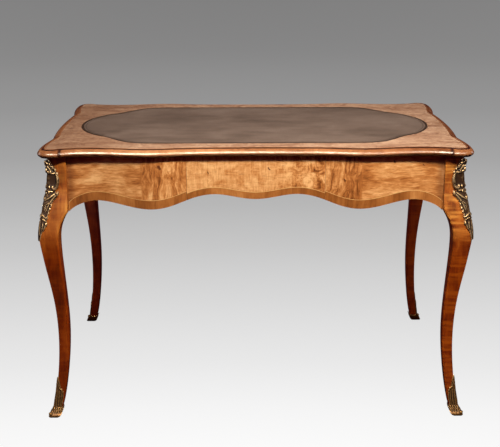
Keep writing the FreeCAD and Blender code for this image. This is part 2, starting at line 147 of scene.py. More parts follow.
def mixColour(tree, factor, first, second, blend="MIX"):
    node = addNode(tree, "ShaderNodeMix", data_type="RGBA", blend_type=blend)
    for socket, value in ((node.inputs[0], factor), (node.inputs[6], first), (node.inputs[7], second)):
        if isinstance(value, (int, float, tuple)):
            socket.default_value = value
        else:
            link(tree, value, socket)
    return node.outputs[2]


def ramp(tree, source, stops):
    node = addNode(tree, "ShaderNodeValToRGB")
    elements = node.color_ramp.elements
    while len(elements) < len(stops):
        elements.new(0.5)
    for element, (place, colour) in zip(elements, stops):
        element.position = place
        element.color = colour
    link(tree, source, node.inputs[0])
    return node.outputs[0]


def remap(tree, source, low, high, newLow=0.0, newHigh=1.0, smooth=False):
    node = addNode(tree, "ShaderNodeMapRange", interpolation_type="SMOOTHSTEP" if smooth else "LINEAR")
    node.inputs[1].default_value = low
    node.inputs[2].default_value = high
    node.inputs[3].default_value = newLow
    node.inputs[4].default_value = newHigh
    link(tree, source, node.inputs[0])
    return node.outputs[0]


def noise(tree, vector, scale, detail=4.0, roughness=0.55, distortion=0.0, output="Fac"):
    node = addNode(tree, "ShaderNodeTexNoise", {
        "Scale": scale, "Detail": detail, "Roughness": roughness, "Distortion": distortion})
    link(tree, vector, node.inputs["Vector"])
    return node.outputs[output]


def stretched(tree, vector, scale, turn=(0, 0, 0)):
    node = addNode(tree, "ShaderNodeMapping", {"Scale": scale, "Rotation": turn})
    link(tree, vector, node.inputs["Vector"])
    return node.outputs[0]


def newGroup(name, inputs, outputs):
    tree = bpy.data.node_groups.new(name, "ShaderNodeTree")
    for label, kind in inputs:
        tree.interface.new_socket(name=label, in_out="INPUT", socket_type=kind)
    for label, kind in outputs:
        tree.interface.new_socket(name=label, in_out="OUTPUT", socket_type=kind)
    return tree, tree.nodes.new("NodeGroupInput"), tree.nodes.new("NodeGroupOutput")


def waved(tree, vector, scale, amount):  # the vector pushed about by slow noise, so that lines flow
    slow = noise(tree, vector, scale, detail=2, roughness=0.5, output="Color")
    centred = addNode(tree, "ShaderNodeVectorMath", operation="SUBTRACT")
    centred.inputs[1].default_value = (0.5, 0.5, 0.5)
    link(tree, slow, centred.inputs[0])
    pushed = addNode(tree, "ShaderNodeVectorMath", operation="MULTIPLY_ADD")
    pushed.inputs[1].default_value = (amount, amount, amount)
    link(tree, centred.outputs[0], pushed.inputs[0])
    link(tree, vector, pushed.inputs[2])
    return pushed.outputs[0]


straightGrain = {
    "wave": (5, 0.045),  # scale and push of the slow bends
    "broad": (2.2, 14, 14), "streak": (3.5, 90, 90), "mottle": (14, 26, 26), "pores": (26, 620, 620),
    "poreEdge": (0.60, 0.72),
}
burrFigure = {
    "swirl": (13, 0.16),  # scale and push
    "figureScale": 34, "bands": (60, 14, 14),
    "eyeScale": 55.0, "eyeEdge": (0.09, 0.26), "patchScale": 17, "patchEdge": (0.50, 0.64),
}
handledPolish = {"glossScale": 6, "rubs": (30, 9, 60), "rubScale": 9, "rubEdge": (0.55, 0.80)}


def makeStraightGrain():  # walnut sawn along the grain, which runs along the vector's X
    tree, entry, result = newGroup("straightGrain", [("Vector", "NodeSocketVector")], [
        ("Tone", "NodeSocketFloat"), ("Pores", "NodeSocketFloat"), ("Height", "NodeSocketFloat")])
    vector = waved(tree, entry.outputs["Vector"], *straightGrain["wave"])
    broad = noise(tree, stretched(tree, vector, straightGrain["broad"]),
                  scale=1.6, detail=3, roughness=0.5, distortion=0.8)
    streak = noise(tree, stretched(tree, vector, straightGrain["streak"]),
                   scale=1.4, detail=5, roughness=0.6, distortion=0.4)
    mottle = noise(tree, stretched(tree, vector, straightGrain["mottle"]),
                   scale=1.5, detail=4, roughness=0.6, distortion=0.3)
    fine = noise(tree, stretched(tree, vector, straightGrain["pores"]),
                 scale=1.0, detail=2, roughness=0.5)
    pores = remap(tree, fine, *straightGrain["poreEdge"], 0, 1, smooth=True)
    link(tree, weighted(tree, (broad, 0.42), (streak, 0.30), (mottle, 0.28)), result.inputs["Tone"])
    link(tree, pores, result.inputs["Pores"])
    link(tree, mathNode(tree, "SUBTRACT", streak, pores), result.inputs["Height"])
    return tree


def makeBurr():  # swirling burr figure with small dark eyes
    tree, entry, result = newGroup("burrFigure", [("Vector", "NodeSocketVector")], [
        ("Tone", "NodeSocketFloat"), ("Eyes", "NodeSocketFloat")])
    vector = entry.outputs["Vector"]
    swirled = waved(tree, vector, *burrFigure["swirl"])
    figure = noise(tree, swirled,
                   scale=burrFigure["figureScale"], detail=7, roughness=0.62, distortion=1.3)
    bands = noise(tree, stretched(tree, swirled, burrFigure["bands"]),
                  scale=1.5, detail=4, roughness=0.6, distortion=0.8)
    spots = addNode(tree, "ShaderNodeTexVoronoi", {"Scale": burrFigure["eyeScale"], "Randomness": 1.0})
    link(tree, swirled, spots.inputs["Vector"])
    patch = noise(tree, vector, scale=burrFigure["patchScale"], detail=2, roughness=0.5)
    patch = remap(tree, patch, *burrFigure["patchEdge"])
    eyes = remap(tree, spots.outputs["Distance"], *burrFigure["eyeEdge"], 1, 0, smooth=True)
    eyes = mathNode(tree, "MULTIPLY", eyes, patch)
    link(tree, weighted(tree, (figure, 0.6), (bands, 0.4)), result.inputs["Tone"])
    link(tree, eyes, result.inputs["Eyes"])
    return tree


def makeHandling():  # uneven polish: slow changes of gloss, fine rubbing marks
    tree, entry, result = newGroup("handledPolish", [("Vector", "NodeSocketVector")], [
        ("Gloss", "NodeSocketFloat"), ("Marks", "NodeSocketFloat")])
    vector = entry.outputs["Vector"]
    slow = noise(tree, vector, scale=handledPolish["glossScale"], detail=4, roughness=0.6)
    rubbing = stretched(tree, vector, handledPolish["rubs"])
    quick = noise(tree, rubbing, scale=handledPolish["rubScale"], detail=6, roughness=0.7)
    link(tree, slow, result.inputs["Gloss"])
    link(tree, remap(tree, quick, *handledPolish["rubEdge"]), result.inputs["Marks"])
    return tree


groups = {"straight": makeStraightGrain(), "burr": makeBurr(), "polish": makeHandling()}
print("shader groups ready")


def placeGroup(tree, key, vector):
    node = tree.nodes.new("ShaderNodeGroup")
    node.node_tree = groups[key]
    link(tree, vector, node.inputs["Vector"])
    return node.outputs


def startMaterial(name):
    material = bpy.data.materials.new(name)
    material.use_nodes = True
    tree = material.node_tree
    shader = tree.nodes["Principled BSDF"]
    place = addNode(tree, "ShaderNodeTexCoord").outputs["Object"]
    return material, tree, shader, place


def addBump(tree, shader, height, strength, distance):
    bump = addNode(tree, "ShaderNodeBump", {"Strength": strength, "Distance": distance})
    link(tree, height, bump.inputs["Height"])
    link(tree, bump.outputs[0], shader.inputs["Normal"])


def finishPolish(tree, shader, place, look):
    polish = placeGroup(tree, "polish", place)
    rough = remap(tree, polish["Gloss"], 0.3, 0.7, *look["rough"])
    rough = mathNode(tree, "ADD", rough, mathNode(tree, "MULTIPLY", polish["Marks"], 0.06), clamp=True)
    link(tree, rough, shader.inputs["Roughness"])
    shader.inputs["Coat Weight"].default_value = look["coat"]
    shader.inputs["Coat Roughness"].default_value = look["coatRough"]
    shader.inputs["Specular IOR Level"].default_value = look["specular"]


# walnut finishes

goldenStops = [(0.22, tint(112, 58, 20)), (0.40, tint(166, 98, 44)), (0.54, tint(196, 130, 70)),
               (0.76, tint(228, 172, 110))]
grainAlong = {"length": (0, 0, 0), "height": (0, math.pi / 2, 0), "depth": (0, 0, math.pi / 2)}
satin = {"rough": (0.36, 0.48), "coat": 0.12, "coatRough": 0.22, "specular": 0.35}  # polish of the frieze
unpolished = {"coat": 0.0, "coatRough": 0.3, "specular": 0.3}  # wood inside the carcase
walnut = {
    "frieze": {
        "stops": goldenStops, "contrast": 2.6, **satin,
        "poreColour": tint(84, 34, 10), "poreAmount": 0.32,
        "turn": grainAlong["length"], "offset": (0.13, 0.0, 0.4),
        "figured": [(-0.293, -0.179), (0.179, 0.272)], "heart": 0.236,  # places across the front, m
        "darkStrip": (0.232, 0.258), "pale": (-0.1787, 0.1787), "paleness": 0.305,
        "shadedEnds": (0.40, 0.486), "legJointShade": (0.461, 0.480), "legJointShadeDepth": 1.7,
        "flameLean": math.radians(-66), "curlLean": math.radians(-32), "knotDepth": 2.9,
        "knots": [(-0.247, 0.700, 8), (-0.124, 0.684, 5), (0.034, 0.692, 6), (0.150, 0.690, 5),
                  (0.355, 0.712, 6), (0.228, 0.664, 6), (0.432, 0.700, 4)]},  # across and height m, size mm
    "friezeSide": {
        "stops": goldenStops, "contrast": 1.7, **satin,
        "poreColour": tint(92, 46, 18), "poreAmount": 0.45,
        "turn": grainAlong["depth"], "offset": (0.6, 0.3, 0.1)},
    "crossband": {
        "stops": [(0.22, tint(103, 52, 16)), (0.42, tint(145, 83, 33)), (0.58, tint(171, 105, 49)),
                  (0.76, tint(198, 135, 72))],
        "contrast": 1.1, **satin,
        "poreColour": tint(88, 42, 14), "poreAmount": 0.35,
        "turn": grainAlong["height"], "offset": (0.2, 0.1, 0.3),
        "leaf": 0.052, "uneven": 0.095},
    "top": {
        "stops": [(0.22, tint(106, 70, 48)), (0.42, tint(152, 111, 82)), (0.56, tint(172, 133, 102)),
                  (0.76, tint(194, 157, 124))],
        "contrast": 2.4, "rough": (0.42, 0.58), "coat": 0.06, "coatRough": 0.25, "specular": 0.25,
        "poreColour": tint(78, 44, 28), "poreAmount": 0.5,
        "turn": grainAlong["length"], "offset": (0.7, 0.2, 0.0), "mottled": 0.5,
        "darkEnds": tint(222, 216, 211), "endsFrom": (0.34, 0.56), "middle": 0.09},
    "moulding": {
        "stops": [(0.22, tint(104, 58, 28)), (0.42, tint(152, 96, 56)), (0.56, tint(176, 118, 74)),
                  (0.76, tint(202, 148, 100))],
        "contrast": 1.6, "rough": (0.28, 0.38), "coat": 0.35, "coatRough": 0.12, "specular": 0.5,
        # this pore colour is also the colour of the painted shade in the quirk, under the nose and in the
        # creases
        "poreColour": tint(40, 7, 5), "poreAmount": 0.35,
        "turn": grainAlong["length"], "offset": (0.1, 0.9, 0.0), "mottled": 0.4,
        "dirtAndShade": 0.95, "leaf": 0.085, "uneven": 0.05,
        "darkEnds": tint(214, 202, 190), "endsFrom": (0.34, 0.56), "middle": 0.0,
        "shadedRight": tint(220, 209, 202), "rightFrom": (0.20, 0.40)},
    "leg": {
        "stops": [(0.22, tint(92, 37, 6)), (0.42, tint(142, 69, 17)), (0.56, tint(168, 91, 27)),
                  (0.76, tint(206, 133, 54))],
        "contrast": 2.0, "rough": (0.30, 0.42), "coat": 0.3, "coatRough": 0.16, "specular": 0.45,
        "poreColour": tint(60, 22, 6), "poreAmount": 0.45,
        "turn": grainAlong["height"], "offset": (0.4, 0.3, 0.7),
        "ripple": tint(206, 133, 54), "shadedFoot": tint(206, 148, 78), "footBelow": (0.45, 0.62)},
    "lining": {
        "stops": [(0.26, tint(120, 84, 50)), (0.42, tint(160, 120, 78)), (0.56, tint(182, 144, 98)),
                  (0.74, tint(200, 166, 120))],
        "contrast": 1.2, "rough": (0.55, 0.72), **unpolished,
        "poreColour": tint(92, 62, 36), "poreAmount": 0.5,
        "turn": grainAlong["depth"], "offset": (0.3, 0.5, 0.2)},
    "carcase": {
        "stops": [(0.26, tint(96, 62, 34)), (0.42, tint(134, 92, 56)), (0.56, tint(158, 114, 72)),
                  (0.74, tint(178, 136, 92))],
        "contrast": 1.2, "rough": (0.58, 0.75), **unpolished,
        "poreColour": tint(74, 46, 26), "poreAmount": 0.5,
        "turn": grainAlong["length"], "offset": (0.8, 0.1, 0.6)},
    "boxwood": {
        "stops": [(0.26, tint(186, 132, 70)), (0.42, tint(208, 156, 90)), (0.56, tint(218, 170, 104)),
                  (0.74, tint(228, 184, 120))],
        "contrast": 1.0, **satin,
        "poreColour": tint(160, 112, 60), "poreAmount": 0.2,
        "turn": grainAlong["length"], "offset": (0.5, 0.5, 0.5)},
}


def axisParts(tree, place):
    parts = addNode(tree, "ShaderNodeSeparateXYZ")
    link(tree, place, parts.inputs[0])
    return parts.outputs


def stripMask(tree, along, low, high, soft):  # 1 between two places, with soft edges
    rising = remap(tree, along, low - soft, low + soft, 0, 1, smooth=True)
    falling = remap(tree, along, high - soft, high + soft, 1, 0, smooth=True)
    return mathNode(tree, "MULTIPLY", rising, falling)


def blendValue(tree, factor, first, second):
    node = addNode(tree, "ShaderNodeMix", data_type="FLOAT")
    for socket, value in ((node.inputs[0], factor), (node.inputs[2], first), (node.inputs[3], second)):
        if isinstance(value, (int, float)):
            socket.default_value = value
        else:
            link(tree, value, socket)
    return node.outputs[0]


# painted shade for the top's moulding: in the quirk groove, under the nose and in the mitred creases
paintedMouldingShade = {
    "quirk": (0.7481, 0.7485, 0.7496, 0.74995),  # heights where it starts, is thick, thins and ends
    "quirkDepth": (0.24, 0.30),  # thinner on the end mouldings
    "nose": (0.7368, 0.7325),
    "longCrease": (0.4925, 0.5005), "longDepth": (0.28, 0.29),
    "shortCrease": (0.1605, 0.1675), "shortLength": (0.50, 0.51),
    "soft": 0.003,
    "endShare": 0.3, "noseShare": 0.85,
}  # all but the shares in m


def paintedJointShade(tree, place):  # painted shade in the quirk, under the nose and in the mitred creases
    parts = axisParts(tree, place)
    length = mathNode(tree, "ABSOLUTE", parts[0])
    depth = mathNode(tree, "ABSOLUTE", parts[1])
    start, thick, thin, end = paintedMouldingShade["quirk"]
    rising = remap(tree, parts[2], start, thick, 0, 1, smooth=True)
    quirk = mathNode(tree, "MULTIPLY", rising, remap(tree, parts[2], thin, end, 1, 0))
    share = remap(tree, depth, *paintedMouldingShade["quirkDepth"], paintedMouldingShade["endShare"], 1)
    quirk = mathNode(tree, "MULTIPLY", quirk, share)
    soft = paintedMouldingShade["soft"]
    longCrease = stripMask(tree, length, *paintedMouldingShade["longCrease"], soft)
    longCrease = mathNode(tree, "MULTIPLY", longCrease, remap(tree, depth, *paintedMouldingShade["longDepth"]))
    shortCrease = stripMask(tree, depth, *paintedMouldingShade["shortCrease"], soft)
    shortCrease = mathNode(tree, "MULTIPLY", shortCrease, remap(tree, length, *paintedMouldingShade["shortLength"]))
    under = remap(tree, parts[2], *paintedMouldingShade["nose"], 0, paintedMouldingShade["noseShare"], smooth=True)
    creases = mathNode(tree, "MAXIMUM", longCrease, shortCrease)
    return mathNode(tree, "MAXIMUM", mathNode(tree, "MAXIMUM", quirk, under), creases)


knotShape = {"narrow": 1.7, "lean": 0.9, "core": 0.4}


def knotMask(tree, parts, knots):  # small leaning knots on an upright face
    mask = None
    for across, height, size in knots:
        rise = mathNode(tree, "SUBTRACT", parts[2], height)
        side = mathNode(tree, "SUBTRACT", parts[0], across)
        side = weighted(tree, (side, knotShape["narrow"]), (rise, knotShape["lean"]))
        square = mathNode(tree, "MULTIPLY", side, side)
        square = mathNode(tree, "ADD", square, mathNode(tree, "MULTIPLY", rise, rise))
        away = mathNode(tree, "SQRT", square)
        spot = remap(tree, away, knotShape["core"] * size * mm, size * mm, 1, 0, smooth=True)
        mask = spot if mask is None else mathNode(tree, "MAXIMUM", mask, spot)
    return mask


def leafFigure(tree, look, parts, vector):  # crotch figure: flames that fall away from a heart
    mirrored = addNode(tree, "ShaderNodeCombineXYZ")
    across = mathNode(tree, "SUBTRACT", mathNode(tree, "ABSOLUTE", parts[0]), look["heart"])
    link(tree, mathNode(tree, "ABSOLUTE", across), mirrored.inputs[0])
    link(tree, mathNode(tree, "MULTIPLY", parts[0], 2.0), mirrored.inputs[1])
    link(tree, parts[2], mirrored.inputs[2])
    flowing = waved(tree, waved(tree, mirrored.outputs[0], scale=12, amount=0.07), scale=34, amount=0.014)
    slanted = stretched(tree, flowing, (1, 1, 1), (0, look["flameLean"], 0))
    flames = placeGroup(tree, "straight", slanted)["Tone"]
    cloud = noise(tree, waved(tree, vector, scale=16, amount=0.05),
                  scale=40, detail=5, roughness=0.6, distortion=0.8)
    side = remap(tree, parts[0], -0.1, 0.1, -0.018, -0.030)
    dark = stripMask(tree, parts[0], *look["darkStrip"], 0.012)
    return weighted(tree, (flames, 0.82), (cloud, 0.20), (side, 1.0), (dark, -0.045))


def paleLeaf(tree, look, vector, parts, tone):  # the drawer: fine flecks, patchy towards its right end
    upright = noise(tree, stretched(tree, vector, (230, 20, 30)),
                    scale=1.0, detail=3, roughness=0.6, distortion=0.4)
    level = noise(tree, stretched(tree, vector, (34, 20, 200)),
                  scale=1.0, detail=3, roughness=0.6, distortion=0.4)
    blotch = noise(tree, stretched(tree, vector, (18, 12, 18)),
                   scale=2.0, detail=5, roughness=0.7, distortion=0.6)
    patchy = remap(tree, parts[0], 0.03, 0.14, 0.30, 0.80, smooth=True)
    uneven = mathNode(tree, "MULTIPLY", mathNode(tree, "SUBTRACT", blotch, 0.5), patchy)
    return weighted(tree, (upright, 0.17), (level, 0.13), (tone, 0.2), (uneven, 1.0), (patchy, -0.06),
                    (look["paleness"], 1.0))


def figuredTone(tree, look, place, vector, parts, tone, marks):  # veneer leaves of the front
    curl = stretched(tree, vector, (50, 30, 210), (0, look["curlLean"], 0))
    curl = noise(tree, curl, scale=1.0, detail=3, roughness=0.55, distortion=0.5)
    cloud = noise(tree, vector, scale=9, detail=3, roughness=0.5, distortion=0.5)
    fromMiddle = mathNode(tree, "ABSOLUTE", parts[0])
    # painted shade: the frieze tone is duller towards the legs
    ends = remap(tree, fromMiddle, *look["shadedEnds"], 0, 1, smooth=True)
    lighter = remap(tree, parts[0], -0.4, 0.4, 0.0, 0.016)
    tone = weighted(tree, (tone, 0.50), (curl, 0.22), (cloud, 0.28), (ends, -0.03), (lighter, 1.0))
    masks = [stripMask(tree, parts[0], low, high, 0.005) for low, high in look["figured"]]
    mask = mathNode(tree, "MAXIMUM", masks[0], masks[1])
    drawerLeaf = stripMask(tree, parts[0], *look["pale"], 0.0005)
    pale = paleLeaf(tree, look, vector, parts, tone)
    tone = blendValue(tree, mask, tone, leafFigure(tree, look, parts, vector))
    tone = blendValue(tree, drawerLeaf, tone, pale)
    middleJoint = stripMask(tree, parts[0], -0.0004, 0.0004, 0.0004)
    marks = mathNode(tree, "MAXIMUM", marks, mathNode(tree, "MULTIPLY", middleJoint, 0.4))
    # painted shadow in the groove where the frieze meets the legs, laid on in the pore colour
    legJointShade = remap(tree, fromMiddle, *look["legJointShade"], 0, look["legJointShadeDepth"], smooth=True)
    marks = mathNode(tree, "MAXIMUM", marks, legJointShade)
    ragged = axisParts(tree, waved(tree, place, scale=110, amount=0.009))
    knots = mathNode(tree, "MULTIPLY", knotMask(tree, ragged, look["knots"]), look["knotDepth"])
    return tone, mathNode(tree, "MAXIMUM", marks, knots)


def walnutMaterial(key):
    look = walnut[key]
    material, tree, shader, place = startMaterial("walnut" + key[0].upper() + key[1:])
    turned = addNode(tree, "ShaderNodeMapping", {"Rotation": look["turn"], "Location": look["offset"]})
    link(tree, place, turned.inputs["Vector"])
    vector = turned.outputs[0]
    parts = axisParts(tree, place)
    grain = placeGroup(tree, "straight", vector)
    tone = grain["Tone"]
    marks = grain["Pores"]
    if "figured" in look:
        tone, marks = figuredTone(tree, look, place, vector, parts, tone, marks)
    if "mottled" in look:
        burr = placeGroup(tree, "burr", vector)
        tone = blendValue(tree, look["mottled"], tone, burr["Tone"])
        marks = mathNode(tree, "MAXIMUM", marks, burr["Eyes"])
    if "leaf" in look:  # short leaves laid end to end, each from another board
        course = mathNode(tree, "DIVIDE", mathNode(tree, "ADD", parts[0], parts[1]), look["leaf"])
        pick = addNode(tree, "ShaderNodeTexWhiteNoise", noise_dimensions="1D")
        link(tree, mathNode(tree, "FLOOR", course), pick.inputs["W"])
        change = remap(tree, pick.outputs[0], 0, 1, -look["uneven"], look["uneven"])
        tone = mathNode(tree, "ADD", tone, change)
    reach = 0.5 / look["contrast"]
    colour = ramp(tree, remap(tree, tone, 0.5 - reach, 0.5 + reach), look["stops"])
    depth = mathNode(tree, "MULTIPLY", marks, look["poreAmount"])
    colour = mixColour(tree, depth, colour, look["poreColour"])
    if "ripple" in look:  # the legs are ripple figured, most on the right, and darker below the knee: partly their own deeper colour, partly painted shade where the light falls off
        ripple = noise(tree, stretched(tree, place, (9, 9, 70)),
                       scale=1.3, detail=3, roughness=0.5, distortion=0.5)
        amount = remap(tree, parts[0], -0.3, 0.3, 0.25, 0.90)
        ripple = mathNode(tree, "MULTIPLY", remap(tree, ripple, 0.42, 0.64), amount)
        colour = mixColour(tree, ripple, colour, look["ripple"])
        low = remap(tree, parts[2], *look["footBelow"], 1, 0, smooth=True)
        colour = mixColour(tree, low, colour, look["shadedFoot"], "MULTIPLY")
    if "darkEnds" in look:
        shifted = mathNode(tree, "SUBTRACT", parts[0], look["middle"])
        ends = remap(tree, mathNode(tree, "ABSOLUTE", shifted), *look["endsFrom"], 0, 1, smooth=True)
        colour = mixColour(tree, ends, colour, look["darkEnds"], "MULTIPLY")
    # painted shade: the moulding is made darker over its right part
    if "shadedRight" in look:
        right = remap(tree, parts[0], *look["rightFrom"], 0, 1, smooth=True)
        colour = mixColour(tree, right, colour, look["shadedRight"], "MULTIPLY")
    # painted shade in the quirk, under the nose and in the creases, laid on in the moulding's pore colour
    if "dirtAndShade" in look:
        dirtAndShade = mathNode(tree, "MULTIPLY", paintedJointShade(tree, place), look["dirtAndShade"])
        colour = mixColour(tree, dirtAndShade, colour, look["poreColour"])
    link(tree, colour, shader.inputs["Base Color"])
    finishPolish(tree, shader, place, look)
    addBump(tree, shader, grain["Height"], strength=0.12, distance=0.0004)
    return material


# leather, bronze, screws

leatherLook = {
    "dark": tint(76, 62, 51), "mid": tint(102, 84, 71), "light": tint(120, 101, 87), "rough": (0.55, 0.70),
}
leatherLineLook = {
    "dark": tint(40, 28, 20), "mid": tint(54, 39, 29), "light": tint(72, 54, 42), "rough": (0.50, 0.66),
}
leatherGrain = {"scale": 520.0, "creaseWidth": 0.14, "creaseShade": 0.22, "specular": 0.22}


def leatherMaterial(name, look):
    material, tree, shader, place = startMaterial(name)
    cloud = noise(tree, place, scale=7, detail=5, roughness=0.6, distortion=0.4)
    rubbed = noise(tree, stretched(tree, place, (9, 30, 9)), scale=1.6, detail=5, roughness=0.65)
    tone = weighted(tree, (cloud, 0.6), (rubbed, 0.4))
    colour = ramp(tree, tone, [(0.30, look["dark"]), (0.50, look["mid"]), (0.68, look["light"])])
    size = {"Scale": leatherGrain["scale"]}
    cells = addNode(tree, "ShaderNodeTexVoronoi", size, feature="DISTANCE_TO_EDGE")
    link(tree, place, cells.inputs["Vector"])
    crease = remap(tree, cells.outputs["Distance"], 0.0, leatherGrain["creaseWidth"], 0, 1, smooth=True)
    shade = mathNode(tree, "SUBTRACT", 1.0, crease)
    shade = mathNode(tree, "MULTIPLY", shade, leatherGrain["creaseShade"])
    link(tree, mixColour(tree, shade, colour, look["dark"]), shader.inputs["Base Color"])
    link(tree, remap(tree, tone, 0.3, 0.7, *look["rough"]), shader.inputs["Roughness"])
    shader.inputs["Specular IOR Level"].default_value = leatherGrain["specular"]
    addBump(tree, shader, crease, strength=0.25, distance=0.0003)
    return material


# hollow colours are dirt with painted shade, the rubbed colours are wear with painted highlights
bronzes = {
    "kneeBronze": {
        "dirtAndShade": tint(16, 9, 4), "wornAndShaded": tint(60, 35, 15), "gilt": tint(206, 172, 122),
        "rubbed": tint(255, 246, 220), "rough": (0.26, 0.55), "metal": (0.45, 0.75)},
    "toeBronze": {
        "dirtAndShade": tint(24, 14, 6), "wornAndShaded": tint(106, 70, 30), "gilt": tint(168, 128, 72),
        "rubbed": tint(238, 216, 172), "rough": (0.28, 0.50), "metal": (0.45, 0.75)},
}
bronzeWearAndShading = {"raised": (0.45, 0.58), "patchScale": 130, "patch": 0.06, "pitScale": 420}


def bronzeMaterial(key):
    look = bronzes[key]
    material, tree, shader, place = startMaterial(key)
    ridge = addNode(tree, "ShaderNodeNewGeometry").outputs["Pointiness"]
    patch = noise(tree, place, scale=bronzeWearAndShading["patchScale"], detail=5, roughness=0.6)
    height = weighted(tree, (ridge, 1.0), (patch, bronzeWearAndShading["patch"]), (-bronzeWearAndShading["patch"] / 2, 1.0))
    # dark in the hollows and bright on the raised parts: dirt and wear, with painted shade in the hollows
    # and painted highlights on the raised parts
    raised = remap(tree, height, *bronzeWearAndShading["raised"], 0, 1, smooth=True)
    stops = [(0.0, look["dirtAndShade"]), (0.4, look["wornAndShaded"]), (0.75, look["gilt"]), (1.0, look["rubbed"])]
    link(tree, ramp(tree, raised, stops), shader.inputs["Base Color"])
    link(tree, remap(tree, raised, 0, 1, *look["metal"]), shader.inputs["Metallic"])
    link(tree, remap(tree, raised, 0, 1, look["rough"][1], look["rough"][0]), shader.inputs["Roughness"])
    pits = noise(tree, place, scale=bronzeWearAndShading["pitScale"], detail=4, roughness=0.6)
    addBump(tree, shader, pits, strength=0.15, distance=0.0003)
    return material


screwLook = {"steel": tint(120, 116, 110), "rust": tint(92, 74, 58), "rustScale": 300, "rough": (0.35, 0.7)}


def screwMaterial():
    material, tree, shader, place = startMaterial("oldSteel")
    rust = noise(tree, place, scale=screwLook["rustScale"], detail=4, roughness=0.6)
    colour = ramp(tree, rust, [(0.4, screwLook["steel"]), (0.65, screwLook["rust"])])
    link(tree, colour, shader.inputs["Base Color"])
    link(tree, remap(tree, rust, 0.3, 0.7, *screwLook["rough"]), shader.inputs["Roughness"])
    shader.inputs["Metallic"].default_value = 1.0
    return material


materials = {key: walnutMaterial(key) for key in walnut}
materials["leather"] = leatherMaterial("hideLeather", leatherLook)
materials["leatherLine"] = leatherMaterial("tooledLeatherAndEdgeShadow", leatherLineLook)
materials.update({key: bronzeMaterial(key) for key in bronzes})
materials["screw"] = screwMaterial()
print("materials ready:", len(materials))


def paint(item, key):
    item.data.materials.clear()
    item.data.materials.append(materials[key])


finishOf = {
    "top": ("top_board",),
    "moulding": ("edge_moulding", "corner_moulding"),
    "leather": ("writing_leather",),
    "leg": ("leg_",),
    "kneeBronze": ("knee_mount", "mount_pins"),
    "toeBronze": ("sabot",),
    "friezeSide": ("left_apron", "right_apron"),
    "frieze": ("front_apron", "back_apron", "drawer_front"),
    "crossband": ("crossband",),
    "boxwood": ("stringing",),
    "screw": ("top_screws", "drawer_screws"),
    "lining": ("drawer_side", "drawer_back", "drawer_bottom"),
}  # finish and the starts of the names of its nodes; the rest is carcase wood
for name, item in nodes.items():
    key = next((finish for finish, starts in finishOf.items() if name.startswith(starts)), "carcase")
    paint(item, key)
print("nodes painted")


# lines along the edge of the leather: a dark band at the rim, darker leather with the painted shadow of the
# groove, and a tooled line

leatherLines = {
    "edge": 7.0, "plain": 4.5, "tooled": 1.8,  # widths from the rim inwards, mm
    "rise": 0.12, "thick": 0.4, "merge": 1.0, "skirt": 0.1,  # mm
    "straight": 2,  # bends of the outline below this angle are taken out, degrees
}


def copyNode(name):  # merged copy of a node's mesh
    activate(nodes[name])
    bpy.ops.object.duplicate()
    copy = bpy.context.object
    copy.parent = None
    editAll()
    bpy.ops.mesh.remove_doubles(threshold=0.01 * mm)
    bpy.ops.object.mode_set(mode="OBJECT")
    return copy


def insetAndSplit(item, width):  # the rim stays in the item, the middle becomes a new object
    activate(item)
    editAll()
    bpy.ops.mesh.inset(thickness=width * mm, use_boundary=True)
    bpy.ops.mesh.separate(type="SELECTED")
    bpy.ops.object.mode_set(mode="OBJECT")
    return next(other for other in bpy.context.selected_objects if other != item)


def makeLeatherLines():
    sheet = copyNode("writing_leather")
    high = max(vertex.co.z for vertex in sheet.data.vertices)
    clearSelection("FACE")
    low = high - leatherLines["skirt"] * mm
    for face in sheet.data.polygons:
        face.select = any(sheet.data.vertices[index].co.z < low for index in face.vertices)
    bpy.ops.object.mode_set(mode="EDIT")
    bpy.ops.mesh.delete(type="FACE")
    bpy.ops.mesh.select_all(action="SELECT")
    bpy.ops.mesh.remove_doubles(threshold=leatherLines["merge"] * mm)
    bpy.ops.mesh.dissolve_limited(angle_limit=math.radians(leatherLines["straight"]))
    bpy.ops.object.mode_set(mode="OBJECT")
    for vertex in sheet.data.vertices:
        vertex.co.z = high + leatherLines["rise"] * mm
    plain = insetAndSplit(sheet, leatherLines["edge"])
    tooled = insetAndSplit(plain, leatherLines["plain"])
    middle = insetAndSplit(tooled, leatherLines["tooled"])
    activate(plain, middle)
    bpy.ops.object.delete()
    for item, name in ((sheet, "leatherEdgeAndShadow"), (tooled, "leatherTooledLine")):
        item.name = name
        applyModifier(item, "SOLIDIFY", thickness=leatherLines["thick"] * mm, offset=-1.0)
        paint(item, "leatherLine")
        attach(item, "table")


makeLeatherLines()
print("leather lines drawn")


# cast bronze mounts, drawn on the two outer faces of a leg

legBlock = (532.0, 305.0)  # plan place of a leg's outer corner under the top, mm
legCorner = [(6, 26.5), (18, 24.0), (49, 18.0), (80, 13.4), (145, 6.0), (188, 2.9), (247, 1.6), (316, 4.5),
             (368, 10.0), (436, 19.6), (484, 25.5), (522, 28.3), (562, 22.5), (600, 14.3), (630, 6.2),
             (650, 2.3), (670, 0.6), (729, 0)]  # height and how far the corner stands out there, mm
toeCorner = [(0, 33.5), (9, 36.5), (16, 30.0), (25, 26.2), (49, 20.8), (80, 16.2), (113, 11.4)]
casting = {"rounding": 3.0, "hollow": 1.1, "plateThick": 2.2}  # mm


